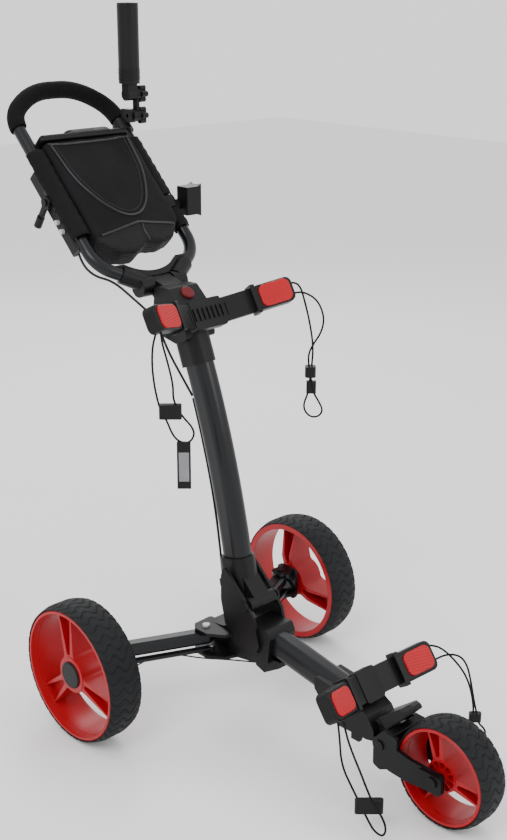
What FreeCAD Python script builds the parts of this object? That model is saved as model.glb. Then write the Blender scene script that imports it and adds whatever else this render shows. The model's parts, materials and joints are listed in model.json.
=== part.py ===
import FreeCAD, Part
import os
from math import cos, pi, radians, sin, tan

# Three-wheel folding golf push cart, standing empty on the ground with its upright locked open.
# Millimetres. +X is forward (the front wheel), +Y is the cart's left, +Z is up, z = 0 is the ground.
# Lengths along X are worked from the rear axle line; REAR_AXLE_X moves them to the row's origin,
# which is the middle of the cart's footprint.

V = FreeCAD.Vector
X_AXIS, Y_AXIS, Z_AXIS = V(1, 0, 0), V(0, 1, 0), V(0, 0, 1)
SIDES = (("right", -1), ("left", 1))

# ---- driving dimensions -------------------------------------------------------------------------
REAR_AXLE_X = -153.5           # rear axle line, from the origin
WHEELBASE = 666.0
TRACK_OUTER = 677.0            # over the outer faces of the rear wheels
REAR_R, REAR_W = 140.0, 74.0   # rear wheel radius and width
FRONT_R, FRONT_W = 100.0, 67.0
SPOKE_DEPTH = 26.0             # how deep the spokes are where they meet the barrel
SEAT_DROP = 3.5                # from the rim's lip down to the tyre's seat
STUB_R, AXLE_R = 8.0, 6.0      # rear stub axles and front axle

FOLD = (181.0, 252.0)          # x, z of the hinge that the upright folds on
FOLD_BORE = 7.0
CHEEK_IN, CHEEK_OUT = 35.0, 41.0
LEG_PIVOT = (84.0, 56.0)       # x and distance from the middle plane
HUB_PIVOT = (6.0, 230.0)
LINK_OFFSET = 16.0             # the second bar of each leg, this far ahead of the first
LEG_Z, LEG_H, LEG_WIDTH = 156.0, 28.0, 30.0
LINK_Z, LINK_H, LINK_WIDTH = 135.0, 7.0, 15.0
PLATE_TOP_Z, PLATE_LOW_Z, PLATE_T = 172.0, 123.0, 6.5

TUBE_FOOT = (124.5, 288.0)     # three points on the bowed upright's centre line, x and z
TUBE_WAIST = (72.0, 519.0)
TUBE_HEAD = (-23.9, 780.0)
TUBE_DEPTH, TUBE_BREADTH, TUBE_CORNER, TUBE_WALL = 60.0, 45.0, 20.0, 2.2
SOCKET_LEAN = 12.5

LOWER_REAR = (206.0, 186.0)    # lower tube's centre line, x and z
LOWER_FRONT = (412.0, 153.0)
LOWER_H, LOWER_W = 52.0, 50.0

# Bag brackets: x and z of the middle of the back, lean and sweep in degrees, half width of the
# middle block, reach from the middle plane to the arm's end, height, and the length and height of
# the end pods and of their buttons.
UPPER = ((24.0, 804.0), 30.0, 22.0, 40.0, 182.0, 58.0, (84.0, 50.0), (66.0, 44.0))
LOWER = ((465.0, 184.0), 36.0, 15.0, 24.0, 146.0, 62.0, (78.0, 58.0), (60.0, 45.0))
POD_T = 30.0
BUTTON_TRAVEL = 3.0

FORK_PIVOT = (540.0, 112.0)
FORK_IN, FORK_OUT = 37.0, 45.0

YOKE = (-108.0, 843.0)         # handle hinge, x and z
PIN_R = 5.0
HANDLE_D, HANDLE_WALL, GRIP_D, ARM_Y = 26.0, 2.0, 36.0, 125.0
ARM_LOW = (-150.0, 890.0)
ARM_HIGH = (-412.0, 1152.0)
GRIP_TOP = (-441.0, 1194.0)

STRAND_TURN = 47.0              # the strands lie side by side across this direction, degrees from +X
BRAKE_Y = -ARM_Y - 9.5         # middle of the brake casing
CORD_D, CABLE_D, WIRE_D = 4.0, 5.0, 3.0


def P(x, y, z):
    """A point, with x measured forward from the rear axle."""
    return V(REAR_AXLE_X + x, y, z)


# ---- shape helpers ------------------------------------------------------------------------------
def cylinder(start, along, radius, length):
    return Part.makeCylinder(radius, length, start, along)


def ring(start, along, r_out, r_in, length):
    return cylinder(start, along, r_out, length).cut(cylinder(start, along, r_in, length))


def box(x0, x1, y0, y1, z0, z1):
    """A block between two x values (from the rear axle), two y values and two heights."""
    return Part.makeBox(x1 - x0, y1 - y0, z1 - z0, P(x0, y0, z0))


def slab_xz(outline, y0, y1):
    """A plate with an outline of (x, z) points, from y0 to y1."""
    loop = Part.makePolygon([P(x, y0, z) for x, z in outline + outline[:1]])
    return Part.Face(loop).extrude(V(0, y1 - y0, 0))


def slab_xy(outline, z0, z1):
    loop = Part.makePolygon([P(x, y, z0) for x, y in outline + outline[:1]])
    return Part.Face(loop).extrude(V(0, 0, z1 - z0))


def soften(shape, radius, along=None):
    """Rounds the edges: all of them, or only the straight ones along a direction."""
    edges = shape.Edges
    if along is not None:
        edges = [e for e in edges if e.Curve.TypeId == "Part::GeomLine"
                 and abs(e.tangentAt(e.FirstParameter).dot(along)) > 0.999]
    return shape.makeFillet(radius, edges)


def placed(shape, at, lean=0.0, sweep=0.0):
    """Sweeps a shape about Z, leans it back about Y, and moves it to a point."""
    shape = shape.copy()
    shape.rotate(V(0, 0, 0), Z_AXIS, sweep)
    shape.rotate(V(0, 0, 0), Y_AXIS, -lean)
    shape.translate(at)
    return shape


def mirrored(shape):
    return shape.mirror(V(0, 0, 0), Y_AXIS)


def fillet_path(points, radii):
    """Straight runs between points, joined by tangent arcs of the given radii."""
    edges, start = [], points[0]
    for before, at, after, radius in zip(points, points[1:], points[2:], radii):
        back, on = (before - at).normalize(), (after - at).normalize()
        half_turn = (pi - back.getAngle(on)) / 2
        reach = radius * tan(half_turn)
        first, last = at + back * reach, at + on * reach
        middle = at + (back + on).normalize() * (radius / cos(half_turn) - radius)
        edges.append(Part.LineSegment(start, first).toShape())
        edges.append(Part.Arc(first, middle, last).toShape())
        start = last
    edges.append(Part.LineSegment(start, points[-1]).toShape())
    return edges


def round_tube(edges, diameter):
    """A solid round bar along joined edges."""
    start = edges[0].Vertexes[0].Point
    section = Part.Wire([Part.Circle(start, edges[0].tangentAt(edges[0].FirstParameter),
                                     diameter / 2).toShape()])
    return Part.Wire(edges).makePipeShell([section], True, False)


def cord_tube(name, points, diameter):
    """A cord's tube: each bend is as large as the two runs beside it allow."""
    points = [P(*p) for p in points]
    radii = []
    for before, at, after in zip(points, points[1:], points[2:]):
        back, on = before - at, after - at
        turn = pi - back.getAngle(on)
        radii.append(0.45 * min(back.Length, on.Length) / tan(turn / 2))
    edges = fillet_path(points, radii)
    tube = round_tube(edges, diameter)
    expected = pi * diameter ** 2 / 4 * sum(e.Length for e in edges)
    print("%s: length %.0f, least radius %.1f, volume ratio %.3f"
          % (name, sum(e.Length for e in edges), min(radii), tube.Volume / expected))
    return tube


def rounded_section(centre, across, up, breadth, depth, corner):
    """A closed rounded-rectangle wire with its breadth along `across` and its depth along `up`."""
    b, d, c, k = breadth / 2, depth / 2, corner, corner * (1 - cos(radians(45)))
    edges = []
    marks = [((1, -1), (1, 1)), ((1, 1), (-1, 1)), ((-1, 1), (-1, -1)), ((-1, -1), (1, -1))]

    def at(x, y):
        return centre + across * x + up * y

    for (sx, sy), (ex, ey) in marks:
        if sx == ex:
            edges.append(Part.LineSegment(at(sx * b, sy * (d - c)), at(ex * b, ey * (d - c))).toShape())
            arc = at(ex * b, ey * (d - c)), at(ex * (b - k), ey * (d - k)), at(ex * (b - c), ey * d)
        else:
            edges.append(Part.LineSegment(at(sx * (b - c), sy * d), at(ex * (b - c), ey * d)).toShape())
            arc = at(ex * (b - c), ey * d), at(ex * (b - k), ey * (d - k)), at(ex * b, ey * (d - c))
        edges.append(Part.Arc(*arc).toShape())
    return Part.Wire(edges)


def bar(start, end, across, breadth, depth, corner):
    """A straight rounded-rectangle bar between two points."""
    along = end - start
    up = across.cross(along).normalize()
    return Part.Face(rounded_section(start, across, up, breadth, depth, corner)).extrude(along)


def wedge(r_in, r_out, half_angle, width, corner):
    """A prism about Y for one wheel opening, symmetric about +X: a sector with round corners."""
    a = radians(half_angle)
    p1, p2 = V(r_in * cos(a * 0.75), 0, -r_in * sin(a * 0.75)), V(r_out * cos(a), 0, -r_out * sin(a))
    p3, p4 = V(p2.x, 0, -p2.z), V(p1.x, 0, -p1.z)
    loop = Part.Wire([Part.LineSegment(p1, p2).toShape(),
                      Part.Arc(p2, V(r_out, 0, 0), p3).toShape(),
                      Part.LineSegment(p3, p4).toShape(),
                      Part.Arc(p4, V(r_in, 0, 0), p1).toShape()])
    prism = Part.Face(loop).extrude(V(0, width, 0))
    return soften(prism, corner, Y_AXIS)


def turned(profile):
    """Turns a profile of (radius, y) points about the Y axis."""
    loop = Part.makePolygon([V(r, y, 0) for r, y in profile + profile[:1]])
    return Part.Face(loop).revolve(V(0, 0, 0), Y_AXIS, 360)


# ---- wheels, built about the origin with the outer face towards -Y ------------------------------
def wheel_tyre(radius, width, lip):
    """Foam tyre with a crowned tread, seated between the rim's lips."""
    half = width / 2
    seat = lip - SEAT_DROP
    shoulder = radius - 6.0
    profile = [V(seat, -half + 6.2, 0), V(lip + 0.5, -half + 6.2, 0), V(lip + 0.5, -half + 0.5, 0),
               V(shoulder, -half, 0)]
    other = [V(shoulder, half, 0), V(lip + 0.5, half - 0.5, 0), V(lip + 0.5, half - 6.2, 0),
             V(seat, half - 6.2, 0)]
    crown = Part.Arc(profile[-1], V(radius, 0, 0), other[0]).toShape()
    loop = [Part.LineSegment(a, b).toShape() for a, b in zip(profile, profile[1:])]
    loop += [crown]
    loop += [Part.LineSegment(a, b).toShape() for a, b in zip(other, other[1:] + profile[:1])]
    return Part.Face(Part.Wire(loop)).revolve(V(0, 0, 0), Y_AXIS, 360)


def wheel_rim(width, lip, bore, hub_r, rise, tilt, corner, openings):
    """Deep one-piece rim: a coned barrel, a hub, and three boxed spokes between tunnel openings.

    The hub's face lies `rise` inside the outer face, and the spokes slope `tilt` further in. Seen
    from the inner side the spokes slope too, from the hub's full width to SPOKE_DEPTH at the barrel.
    """
    half = width / 2
    seat = lip - SEAT_DROP
    near, far, floor = lip - 6.0, lip - 12.0, half - 6.0
    slope = (near - far) / width
    spoke_r = near - (rise + tilt) * slope
    rim = turned([(bore, -half + rise), (hub_r, -half + rise), (hub_r, -half + rise + 1.5),
                  (spoke_r, -half + rise + tilt), (near, -half + 0.5), (lip - 1.5, -half + 0.5),
                  (lip, -half + 2.0), (lip, -half + 5.5), (seat, -half + 6.0), (seat, half - 6.0),
                  (lip, half - 5.5), (lip, half - 0.5), (far, half - 0.5), (far, floor), (bore, floor)])
    inside = turned([(hub_r, -half - 1), (near - 0.5, -half - 1), (far - 0.5, half + 1), (hub_r, half + 1)])
    low = -half + rise + tilt + SPOKE_DEPTH
    low_r = near - 0.5 - (low + half + 1) * (near - far) / (width + 2)
    behind = turned([(hub_r + 6.0, half + 1), (far - 0.5, half + 1), (low_r, low)])
    hole = wedge(hub_r + 1.0, lip + 20.0, 51.0, width, corner)
    box_room = wedge(hub_r + 4.0, far - 1.0, 8.5, width, 3.0)
    hole.translate(V(0, -half, 0))
    for angle in openings:
        cut = hole.copy()
        cut.rotate(V(0, 0, 0), Y_AXIS, -angle)
        rim = rim.cut(cut.common(inside))
        for depth in (rise + tilt - 2.0 - width + 14.0, rise + tilt + 18.0):
            room = box_room.copy()
            room.translate(V(0, depth - half, 0))
            room.rotate(V(0, 0, 0), Y_AXIS, -angle - 60.0)
            rim = rim.cut(room)
    return rim.cut(behind)


def rear_wheel(side):
    """Rim, tyre and cap of one rear wheel, in place."""
    lip, half, hub_face = 131.5, REAR_W / 2, 7.5
    rim = wheel_rim(REAR_W, lip, 8.05, 36.0, hub_face, 9.0, 12.0, (43.0, 163.0, -77.0))
    rim = rim.cut(cylinder(V(0, -half, 0), Y_AXIS, 27.0, hub_face + 4.5)).removeSplitter()
    cap = cylinder(V(0, -half + hub_face - 4.0, 0), Y_AXIS, 27.0, 8.5)
    cap = cap.makeFillet(3.0, [e for e in cap.Edges if e.BoundBox.YMax < -half + hub_face - 3.5])
    pieces = [rim, wheel_tyre(REAR_R, REAR_W, lip), cap]
    for piece in pieces:
        piece.translate(P(0, -(TRACK_OUTER - REAR_W) / 2, REAR_R))
    return [mirrored(p) if side > 0 else p for p in pieces]


def front_wheel():
    """Rim with a ten-ribbed hub, and tyre."""
    half, lip, hub_r, hub_face = FRONT_W / 2, 91.0, 30.0, 9.0
    rim = wheel_rim(FRONT_W, lip, AXLE_R + 0.05, hub_r, hub_face, 8.0, 6.0, (50.0, 170.0, -70.0))
    pocket = ring(V(0, -half + hub_face, 0), Y_AXIS, 27.0, 14.0, 9.0)
    for k in range(10):
        rib = Part.makeBox(30.0, 9.0, 2.4, V(0, -half + hub_face, -1.2))
        rib.rotate(V(0, 0, 0), Y_AXIS, 36.0 * k)
        pocket = pocket.cut(rib)
    rim = rim.cut(pocket).removeSplitter()
    pieces = [rim, wheel_tyre(FRONT_R, FRONT_W, lip)]
    for piece in pieces:
        piece.translate(P(WHEELBASE, 0, FRONT_R))
    return pieces


# ---- legs ---------------------------------------------------------------------------------------
def flat_link(start, end, z, height, width, bore):
    """A bar with round ends in a level plane, bored at both ends."""
    (x0, y0), (x1, y1) = start, end
    a, b = P(x0, y0, z - height / 2), P(x1, y1, z - height / 2)
    along = b - a
    side = Z_AXIS.cross(along).normalize() * (width / 2)
    body = Part.Face(Part.makePolygon([a + side, b + side, b - side, a - side, a + side])).extrude(
        V(0, 0, height))
    for end_point in (a, b):
        body = body.fuse(cylinder(end_point, Z_AXIS, width / 2, height))
    body = body.removeSplitter()
    edges = [e for e in body.Edges if e.BoundBox.ZLength < 1e-6]
    body = body.makeFillet(min(height, width) * 0.3, edges)
    for end_point in (a, b):
        body = body.cut(cylinder(end_point, Z_AXIS, bore, height))
    return body


def leg_pieces(side):
    """The leg tube and the second bar that keeps the wheel parallel while the leg swings."""
    (px, py), (hx, hy) = LEG_PIVOT, HUB_PIVOT
    leg = flat_link((px, side * py), (hx, side * hy), LEG_Z, LEG_H, LEG_WIDTH, 4.05)
    link = flat_link((px + LINK_OFFSET, side * py), (hx + LINK_OFFSET, side * hy),
                     LINK_Z, LINK_H, LINK_WIDTH, 3.55)
    return leg, link


def hub_bracket(side):
    """Clevis at the leg's outer end with its two pivot pins and the wheel's stub axle."""
    hx, hy = HUB_PIVOT
    back = hy + 24.0
    plate = soften(box(-24, 30, back, back + 7.5, PLATE_LOW_Z - 14, PLATE_TOP_Z + PLATE_T), 7.0, Y_AXIS)
    low_top = PLATE_LOW_Z + PLATE_T
    top = box(hx - 17, hx + 17, hy, back + 1, PLATE_TOP_Z, PLATE_TOP_Z + PLATE_T)
    top = top.fuse(cylinder(P(hx, hy, PLATE_TOP_Z), Z_AXIS, 17.0, PLATE_T))
    low = box(hx + LINK_OFFSET - 12, hx + LINK_OFFSET + 12, hy, back + 1, PLATE_LOW_Z, low_top)
    low = low.fuse(cylinder(P(hx + LINK_OFFSET, hy, PLATE_LOW_Z), Z_AXIS, 12.0, PLATE_T))
    leg_low = LEG_Z - LEG_H / 2
    pin = cylinder(P(hx, hy, leg_low), Z_AXIS, 4.0, PLATE_TOP_Z + PLATE_T - leg_low)
    head = cylinder(P(hx, hy, PLATE_TOP_Z + PLATE_T), Z_AXIS, 7.0, 4.0)
    link_pin = cylinder(P(hx + LINK_OFFSET, hy, low_top), Z_AXIS, 3.5, LINK_Z + LINK_H / 2 - low_top)
    gusset = slab_xz([(-20, 112), (26, 112), (26, 138), (14, 148), (-14, 148), (-20, 138)], back - 5, back + 1)
    start, end = back + 7.5, TRACK_OUTER / 2 - 14.0
    axle = cylinder(P(0, start, REAR_R), Y_AXIS, STUB_R, end - start)
    axle = axle.fuse(cylinder(P(0, start, REAR_R), Y_AXIS, 13.0, 1.6))
    bracket = plate.fuse([top, low, pin, head, link_pin, gusset, axle]).removeSplitter()
    return bracket if side > 0 else mirrored(bracket)


# ---- middle of the frame ------------------------------------------------------------------------
def lower_tube():
    start, end = P(LOWER_REAR[0], 0, LOWER_REAR[1]), P(LOWER_FRONT[0], 0, LOWER_FRONT[1])
    outer = bar(start, end, Y_AXIS, LOWER_W, LOWER_H, 20.0)
    inner = bar(start, end, Y_AXIS, LOWER_W - 5.0, LOWER_H - 5.0, 17.5)
    return outer.cut(inner)


def knuckle_block():
    """Casting behind the lower tube: the tube's socket and the plates that the legs swing between."""
    outline = [(62, 129), (62, 176), (112, 182), (146, 200), (176, 214), (238, 217), (246, 200),
               (240, 146), (206, 137), (120, 121), (80, 121)]
    core = soften(slab_xz(outline, -CHEEK_IN, CHEEK_IN), 7.0, Y_AXIS)
    core = core.cut(box(58, 130, -CHEEK_IN - 1, -20, PLATE_LOW_Z + PLATE_T, PLATE_TOP_Z))
    core = core.cut(box(58, 130, 20, CHEEK_IN + 1, PLATE_LOW_Z + PLATE_T, PLATE_TOP_Z))
    start, end = P(LOWER_REAR[0], 0, LOWER_REAR[1]), P(LOWER_FRONT[0], 0, LOWER_FRONT[1])
    core = core.cut(bar(start, end, Y_AXIS, LOWER_W, LOWER_H, 20.0))
    plan = [(58, 20), (60, 66), (74, 78), (108, 78), (140, 54), (152, 20)]
    for side in (-1, 1):
        flat = [(x, side * y) for x, y in plan]
        for low in (PLATE_TOP_Z, PLATE_LOW_Z):
            plate = soften(slab_xy(flat, low, low + PLATE_T), 6.0, Z_AXIS)
            core = core.fuse(plate)
        x, y = LEG_PIVOT
        for low in (PLATE_TOP_Z, PLATE_LOW_Z):
            core = core.cut(cylinder(P(x, side * y, low), Z_AXIS, 4.0, PLATE_T))
        core = core.cut(cylinder(P(x + LINK_OFFSET, side * y, PLATE_LOW_Z), Z_AXIS, 3.5, PLATE_T))
    return core.removeSplitter()


def leg_bolts():
    """Pivot bolts of both legs and the shorter pins of the second bars."""
    bolts = []
    x, y = LEG_PIVOT
    for _, side in SIDES:
        shank = cylinder(P(x, side * y, PLATE_LOW_Z - 3), Z_AXIS, 4.0, PLATE_TOP_Z + PLATE_T + 3 - PLATE_LOW_Z)
        head = cylinder(P(x, side * y, PLATE_TOP_Z + PLATE_T), Z_AXIS, 7.5, 4.0)
        nut = cylinder(P(x, side * y, PLATE_LOW_Z - 6), Z_AXIS, 7.0, 6.0)
        bolts.append(shank.fuse([head, nut]))
        pin_top = LINK_Z + LINK_H / 2
        pin = cylinder(P(x + LINK_OFFSET, side * y, PLATE_LOW_Z - 3), Z_AXIS, 3.5, pin_top - PLATE_LOW_Z + 3)
        bolts.append(pin.fuse(cylinder(P(x + LINK_OFFSET, side * y, PLATE_LOW_Z - 5), Z_AXIS, 6.0, 5.0)))
    return Part.Compound(bolts)


def hinge_cheeks():
    """Two plates beside the upright's foot, and the pin through them that it folds on."""
    outline = [(112, 296), (119, 318), (136, 304), (176, 268), (205, 236), (222, 180), (214, 160), (152, 158),
               (124, 196), (112, 244)]
    x, z = FOLD
    pin = cylinder(P(x, -CHEEK_OUT - 4, z), Y_AXIS, FOLD_BORE, 2 * CHEEK_OUT + 8)
    solids = [pin]
    for _, side in SIDES:
        y0, y1 = sorted((side * CHEEK_IN, side * CHEEK_OUT))
        solids.append(soften(slab_xz(outline, y0, y1), 5.0, Y_AXIS))
        solids.append(cylinder(P(x, side * CHEEK_OUT, z), Y_AXIS * side, 11.0, 4.0))
    return solids[0].fuse(solids[1:]).removeSplitter()


def cable_bracket():
    """Folded plate under the lower tube that anchors the brake cable."""
    outline = [(196, 146), (196, 124), (220, 116), (262, 142), (262, 156)]
    plate = soften(slab_xz(outline, -24, 24), 2.0, Y_AXIS)
    slot = slab_xz([(202, 150), (202, 129), (220, 122), (256, 146), (256, 160)], -20, 20)
    foot = bar(P(LOWER_REAR[0], 0, LOWER_REAR[1]), P(LOWER_FRONT[0], 0, LOWER_FRONT[1]), Y_AXIS,
               LOWER_W, LOWER_H, 20.0)
    return plate.cut(slot).cut(foot).cut(knuckle_block()).removeSplitter()


# ---- upright ------------------------------------------------------------------------------------
def upright_solid(shrink):
    """The bowed upright's solid form; `shrink` takes its wall off for the inside."""
    foot, waist, head = (P(x, 0, z) for x, z in (TUBE_FOOT, TUBE_WAIST, TUBE_HEAD))
    path = Part.Arc(foot, waist, head).toShape()
    along = path.tangentAt(path.FirstParameter)
    section = rounded_section(foot, Y_AXIS, along.cross(Y_AXIS).normalize(), TUBE_BREADTH - 2 * shrink,
                              TUBE_DEPTH - 2 * shrink, TUBE_CORNER - shrink)
    return Part.Wire([path]).makePipeShell([section], True, False)


def upright_socket(tube):
    """Sleeve at the upright's foot, with the barrel that turns on the fold pin."""
    lean = radians(SOCKET_LEAN)
    along = V(-sin(lean), 0, cos(lean))
    start = P(TUBE_FOOT[0], 0, TUBE_FOOT[1]) - along * 30.0
    sleeve = bar(start, start + along * 72.0, Y_AXIS, TUBE_BREADTH + 11, TUBE_DEPTH + 10, 23.0)
    x, z = FOLD
    arm = slab_xz([(116, 262), (152, 300), (x + 6, z + 14), (x + 12, z - 6), (x - 8, z - 12)], -20, 20)
    barrel = cylinder(P(x, -CHEEK_IN + 1, z), Y_AXIS, 15.0, 2 * CHEEK_IN - 2)
    cable_lug = slab_xz([(100, 252), (84, 255), (81, 270), (98, 270)], -17, -4)
    socket = sleeve.fuse([soften(arm, 4.0, Y_AXIS), barrel, cable_lug])
    socket = socket.cut(cylinder(P(x, -CHEEK_IN, z), Y_AXIS, FOLD_BORE + 0.05, 2 * CHEEK_IN))
    return socket.cut(tube).removeSplitter()


def upper_housing(tube):
    """Casing clamped round the upright's head; its rear lug carries the handle hinge."""
    lean = radians(21.5)
    along = V(-sin(lean), 0, cos(lean))
    head = P(TUBE_HEAD[0], 0, TUBE_HEAD[1])
    sleeve = bar(head - along * 84.0, head + along * 8.0, Y_AXIS, TUBE_BREADTH + 9, TUBE_DEPTH + 9, 22.0)
    outline = [(-20, 744), (14, 757), (4, 800), (-12, 826), (-40, 850), (-80, 848), (-86, 800), (-62, 752)]
    body = soften(slab_xz(outline, -37, 37), 8.0, Y_AXIS)
    x, z = YOKE
    lug = slab_xz([(-70, 800), (-60, 846), (x, z + 17), (x - 12, z + 10), (x, z - 17)], -24, 24)
    lug = lug.fuse(cylinder(P(x, -24, z), Y_AXIS, 17.0, 48.0))
    housing = sleeve.fuse([body, lug]).cut(tube)
    housing = housing.cut(cylinder(P(x, -25, z), Y_AXIS, PIN_R + 0.05, 50.0))
    face, axis = release_place()
    return housing.cut(cylinder(face - axis * 9.0, axis, 14.4, 30.0)).removeSplitter()


def release_place():
    """Middle of the casing's sloping top face, and the direction out of it."""
    return P(-26, 0, 838), V(24, 0, 28).normalize()


def release_button():
    """Domed button on top of the casing that frees the handle hinge."""
    face, axis = release_place()
    button = cylinder(face - axis * 5.5, axis, 14.0, 11.0)
    rim = [e for e in button.Edges if e.CenterOfMass.sub(face).dot(axis) > 5.0]
    return button.makeFillet(4.0, rim)


# ---- bag brackets and their end pods ------------------------------------------------------------
def bag_bracket(at, lean, sweep, middle, reach, high, pod, button, ribs):
    """A shallow V of two arms that cradles the bag; local X is forward, Z is up the bag."""
    bracket = soften(Part.makeBox(22.0, 2 * middle, high, V(-8, -middle, -high / 2)), 7.0, X_AXIS)
    length = (reach - middle) / cos(radians(sweep))
    for _, side in SIDES:
        arm = soften(Part.makeBox(12.0, length - pod[0] + 12, high - 10, V(0, -8.0, -high / 2 + 5)), 9.0, X_AXIS)
        tongue = Part.makeBox(8.0, 40.0, high - 26, V(2, length - pod[0] - 4, -high / 2 + 13))
        arm = arm.fuse(tongue)
        if side < 0:
            arm = mirrored(arm)
        arm.rotate(V(0, 0, 0), Z_AXIS, -side * sweep)
        arm.translate(V(0, side * middle, 0))
        bracket = bracket.fuse(arm)
    for k in range(ribs):
        y = (k - (ribs - 1) / 2) * 2 * (middle + 12) / ribs
        bracket = bracket.fuse(Part.makeBox(5.0, 3.0, high * 0.42, V(12.0, y - 1.5, -high * 0.21)))
    return placed(bracket.removeSplitter(), P(at[0], 0, at[1]), lean)


def pod_and_button(at, lean, sweep, middle, reach, high, pod, button, side):
    """End pod of one arm with a pocket in its front face, and the push button in it."""
    (pod_len, pod_high), (long, tall) = pod, button
    mid_y = (reach - middle) / cos(radians(sweep)) - pod_len / 2
    start, face = mid_y - pod_len / 2, POD_T - 6
    body = soften(Part.makeBox(POD_T, pod_len, pod_high, V(-6, start, -pod_high / 2)), 13.0, X_AXIS)
    body = body.makeFillet(4.0, [e for e in body.Edges if e.BoundBox.XLength < 1e-6])
    collar = Part.makeBox(POD_T + 4, 9.0, pod_high + 8, V(-8, start - 3, -pod_high / 2 - 4))
    body = body.fuse(soften(collar, 4.0, Y_AXIS))
    pocket = Part.makeBox(12.0, long + 1, tall + 1, V(face - 11, mid_y - long / 2 + 1.5, -tall / 2 - 0.5))
    body = body.cut(soften(pocket, 13.0, X_AXIS))
    body = body.cut(Part.makeBox(8.4, 60.0, high - 25.6, V(1.8, start - 20, -high / 2 + 12.8)))
    cap = Part.makeBox(11.0, long, tall, V(face - 7.5, mid_y - long / 2 + 2, -tall / 2))
    cap = soften(cap, 12.5, X_AXIS)
    cap = cap.makeFillet(2.5, [e for e in cap.Edges if e.BoundBox.XMin > face + 3.4])
    shapes = []
    for shape in (body, cap):
        if side < 0:
            shape = mirrored(shape)
        shape.rotate(V(0, 0, 0), Z_AXIS, -side * sweep)
        shape.translate(V(0, side * middle, 0))
        shapes.append(placed(shape, P(at[0], 0, at[1]), lean))
    return shapes


# ---- front of the frame -------------------------------------------------------------------------
def front_housing():
    """Casing on the lower tube's front end; its nose lug carries the fork's pivot."""
    outline = [(366, 176), (366, 150), (384, 130), (432, 97), (500, 100), (516, 104), (516, 124), (500, 148),
               (470, 164), (430, 170)]
    body = soften(slab_xz(outline, -34, 34), 6.0, Y_AXIS)
    x, z = FORK_PIVOT
    nose = slab_xz([(490, 102), (x, z - 14), (x, z + 14), (500, 140)], -20, 20)
    nose = nose.fuse(cylinder(P(x, -20, z), Y_AXIS, 14.0, 40.0))
    hook = soften(box(462, 480, -34, -22, 84, 104), 3.0, X_AXIS)
    body = body.fuse([nose, hook])
    start, end = P(LOWER_REAR[0], 0, LOWER_REAR[1]), P(LOWER_FRONT[0], 0, LOWER_FRONT[1])
    body = body.cut(bar(start, end, Y_AXIS, LOWER_W, LOWER_H, 20.0))
    return body.cut(cylinder(P(x, -36, z), Y_AXIS, AXLE_R + 0.05, 72.0)).removeSplitter()


def base_rest(housing):
    """Blade ahead of the lower bracket that the bag's base stands on."""
    outline = [(496, 134), (518, 112), (590, 190), (586, 198), (576, 197)]
    blade = soften(slab_xz(outline, -24, 24), 3.0, Y_AXIS)
    corner = P(596, 0, 203)
    taper = Part.makeCone(0.1, 74.0, 92.0, corner, (P(512, 0, 120) - corner).normalize())
    pivot_room = cylinder(P(FORK_PIVOT[0], -50, FORK_PIVOT[1]), Y_AXIS, 19.0, 100.0)
    return blade.common(taper).cut(pivot_room).cut(housing)


def front_fork():
    """Clevis on the fold pivot, two boxed arms and the wheel's axle between them."""
    x, z = FORK_PIVOT
    boss = cylinder(P(x, 21, z), Y_AXIS, 17.0, 15.0)
    cheek = slab_xz([(x - 15, z + 8), (x - 14, z - 30), (x - 14, z - 44), (x + 2, z - 50), (x + 22, z - 40),
                     (x + 40, z - 20), (x + 40, z + 30), (x + 8, z + 34)], 35, FORK_OUT)
    cheek = soften(cheek, 7.0, Y_AXIS).fuse(cylinder(P(x, 35, z), Y_AXIS, 17.0, FORK_OUT - 35))
    arm = slab_xz([(x + 16, 70), (x + 16, 122), (x + 40, 120), (x + 70, 115), (682, 115), (684, 76), (600, 68)],
                  FORK_IN, FORK_OUT)
    arm = soften(arm, 9.0, Y_AXIS)
    end_boss = soften(box(632, 686, FORK_OUT - 1, FORK_OUT + 6, 78, 114), 9.0, Y_AXIS)
    half = boss.fuse([cheek, arm, end_boss])
    bridge = box(x + 12, x + 32, -FORK_OUT + 1, FORK_OUT - 1, z + 17, z + 34)
    wall = box(x + 17, x + 30, -FORK_OUT + 1, FORK_OUT - 1, z - 36, z + 30)
    fork = half.fuse([mirrored(half), soften(bridge, 4.0, Y_AXIS), wall])
    fork = fork.cut(cylinder(P(WHEELBASE, -FORK_IN, FRONT_R), Y_AXIS, FRONT_R + 4, 2 * FORK_IN))
    fork = fork.cut(cylinder(P(x, -20.5, z), Y_AXIS, 15.0, 41.0))
    rods = []
    for rod_x, rod_z, head in ((x, z, 3.0), (WHEELBASE, FRONT_R, 9.0)):
        rods.append(cylinder(P(rod_x, -FORK_OUT - head, rod_z), Y_AXIS, AXLE_R, 2 * (FORK_OUT + head)))
    for y in (-FORK_OUT - 3.0, FORK_OUT):
        rods.append(cylinder(P(x, y, z), Y_AXIS, 10.0, 3.0))
    for y in (-FORK_OUT - 10.0, FORK_OUT + 6.0):
        rods.append(cylinder(P(WHEELBASE, y, FRONT_R), Y_AXIS, 10.0, 4.0))
    return fork.fuse(rods).removeSplitter()


# ---- handle -------------------------------------------------------------------------------------
def handle_points():
    (lx, lz), (hx, hz), (gx, gz) = ARM_LOW, ARM_HIGH, GRIP_TOP
    half = [P(YOKE[0] - 4, 44, YOKE[1] + 8), P(lx, ARM_Y, lz), P(hx, ARM_Y, hz), P(gx, 54, gz)]
    return half + [V(p.x, -p.y, p.z) for p in reversed(half)]


def handle_edges():
    return fillet_path(handle_points(), [62, 68, 130, 130, 68, 62])


def foam_grip():
    """Foam sleeve over the loop's top, from one corner to the other."""
    path = handle_edges()[3:10]
    return round_tube(path, GRIP_D).cut(round_tube(path, HANDLE_D))


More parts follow.
